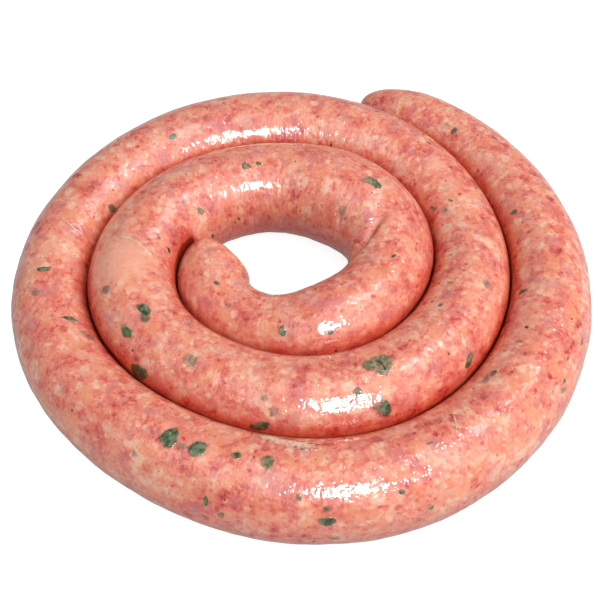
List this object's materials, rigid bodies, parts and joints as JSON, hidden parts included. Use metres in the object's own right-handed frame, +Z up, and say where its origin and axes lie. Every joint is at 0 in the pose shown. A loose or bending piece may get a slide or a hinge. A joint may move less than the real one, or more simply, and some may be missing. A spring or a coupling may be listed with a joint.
{
  "type": "coiled sausage",
  "caption": "One long fresh sausage with green herbs in a natural casing, wound flat in a spiral with an open middle.",
  "frame": {"origin": "on the floor under the middle of the coil's box", "axes": "+Z up out of the coil's plane; +X to the right and +Y to the back as the coil is usually seen, with the open outer tip at the back"},
  "size_m": [0.2306, 0.2272, 0.04],
  "materials": {
    "casing": null
  },
  "bodies": {
    "root": {"sausage_coil": "casing"}
  },
  "joints": []
}
